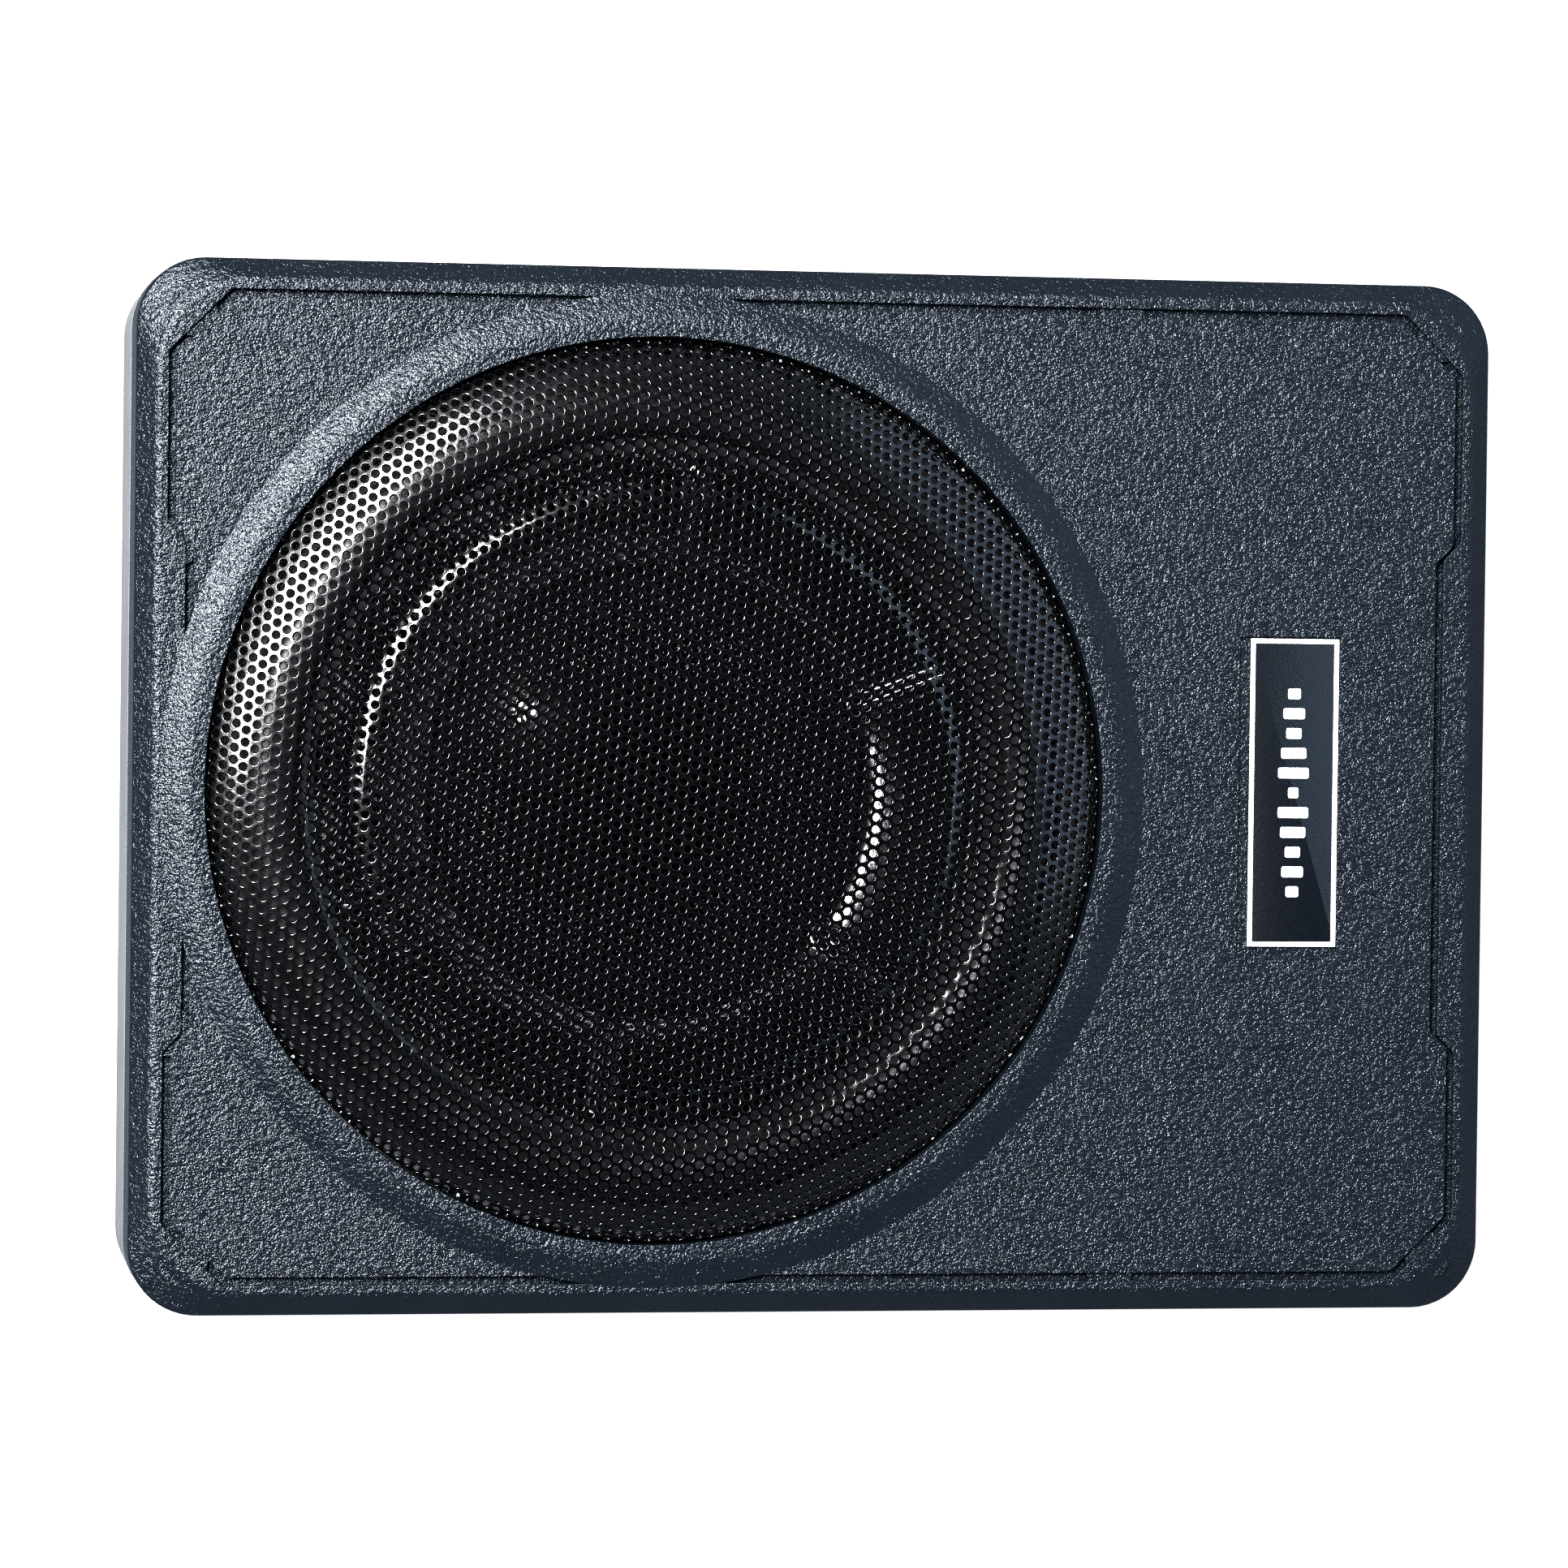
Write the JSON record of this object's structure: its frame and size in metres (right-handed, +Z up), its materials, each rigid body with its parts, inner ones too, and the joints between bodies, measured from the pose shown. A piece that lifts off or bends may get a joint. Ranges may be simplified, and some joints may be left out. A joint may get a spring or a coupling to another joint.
{
  "type": "powered car subwoofer",
  "caption": "Slim under-seat powered subwoofer: textured cover with a perforated round grille over a shallow woofer, amplifier and recessed connector panel in a cast base.",
  "frame": {"origin": "centre of the footprint, on the plane the feet stand on", "axes": "+X along the length towards the connector end, +Y across, +Z up out of the grille"},
  "size_m": [0.343, 0.26, 0.072],
  "materials": {
    "cast_case": "fine blasted casting",
    "textured_coat": "sparkling sand-texture powder coat",
    "black_rubber": "matt",
    "black_steel": "satin black",
    "zinc_steel": "zinc plated",
    "brass": "turned",
    "plate_metal": "dark field with a bright cut border",
    "grille_steel": "gloss black enamel on perforated sheet",
    "foam": "closed-cell foam",
    "surround_rubber": "satin",
    "cone_shell": "gloss moulded cone",
    "cap_shell": "gloss moulded dome",
    "aluminium": "mill finish",
    "copper": "enamelled copper",
    "spider_cloth": "resin-treated woven cloth",
    "ferrite": "ground ferrite",
    "circuit_board": "solder mask",
    "can_sleeve": "shrink sleeve",
    "black_plastic": "moulded",
    "white_plastic": "moulded nylon",
    "fuse_plastic": "clear moulding",
    "wire_jacket": "flexible jacket",
    "panel_paint": "satin black",
    "nickel": "nickel plated",
    "jack_core": "moulded",
    "led_lens": "diffused lens",
    "knob_plastic": "moulded, fluted"
  },
  "bodies": {
    "case": {"base_case": "cast_case", "case_gasket": "black_rubber", "top_cover": "textured_coat", "case_screws": "black_steel", "feet": "black_rubber", "bracket_inserts": "brass", "name_plate": "plate_metal", "grille": "grille_steel", "grille_seal": "foam", "woofer_basket": "black_steel", "woofer_gasket": "foam", "woofer_screws": "zinc_steel", "surround": "surround_rubber", "spider": "spider_cloth", "magnet_yoke": "zinc_steel", "magnet": "ferrite", "magnet_top_plate": "zinc_steel", "woofer_terminals": "brass", "tinsel_leads": "copper", "amplifier_board": "circuit_board", "board_screws": "zinc_steel", "capacitors": "can_sleeve", "toroid_core": "ferrite", "toroid_winding": "copper", "board_chips": "black_plastic", "power_transistors": "black_plastic", "heat_sink_bar": "aluminium", "transistor_clamp": "zinc_steel", "speaker_wires": "wire_jacket", "connector_panel": "panel_paint", "panel_screws": "black_steel", "power_terminal_block": "black_plastic", "terminal_screws": "nickel", "fuse_holder": "black_plastic", "blade_fuse": "fuse_plastic", "speaker_level_socket": "white_plastic", "remote_port": "black_plastic", "rca_shells": "nickel", "rca_insulators": "jack_core", "power_led": "led_lens", "control_pots": "zinc_steel", "phase_switch": "zinc_steel"},
    "cone_assembly": {"cone": "cone_shell", "dust_cap": "cap_shell", "coil_former": "aluminium", "coil_winding": "copper"},
    "gain_knob": {"gain_knob": "knob_plastic"},
    "crossover_knob": {"crossover_knob": "knob_plastic"},
    "bass_boost_knob": {"bass_boost_knob": "knob_plastic"},
    "phase_lever": {"phase_lever": "knob_plastic"}
  },
  "joints": [
    {"name": "cone_travel", "type": "slide", "parent": "case", "child": "cone_assembly", "axis": [0, 0, 1], "range_m": [-0.005, 0.005], "deforming": ["surround", "spider", "tinsel_leads"]},
    {"name": "gain_turn", "type": "hinge", "parent": "case", "child": "gain_knob", "pos_m": [0.163, 0.063, 0.0235], "axis": [1, 0, 0], "range_deg": [-140, 140]},
    {"name": "crossover_turn", "type": "hinge", "parent": "case", "child": "crossover_knob", "pos_m": [0.163, 0.075, 0.0235], "axis": [1, 0, 0], "range_deg": [-140, 140]},
    {"name": "bass_boost_turn", "type": "hinge", "parent": "case", "child": "bass_boost_knob", "pos_m": [0.163, 0.087, 0.0235], "axis": [1, 0, 0], "range_deg": [-140, 140]},
    {"name": "phase_slide", "type": "slide", "parent": "case", "child": "phase_lever", "axis": [0, 1, 0], "range_m": [0, 0.0032]}
  ]
}
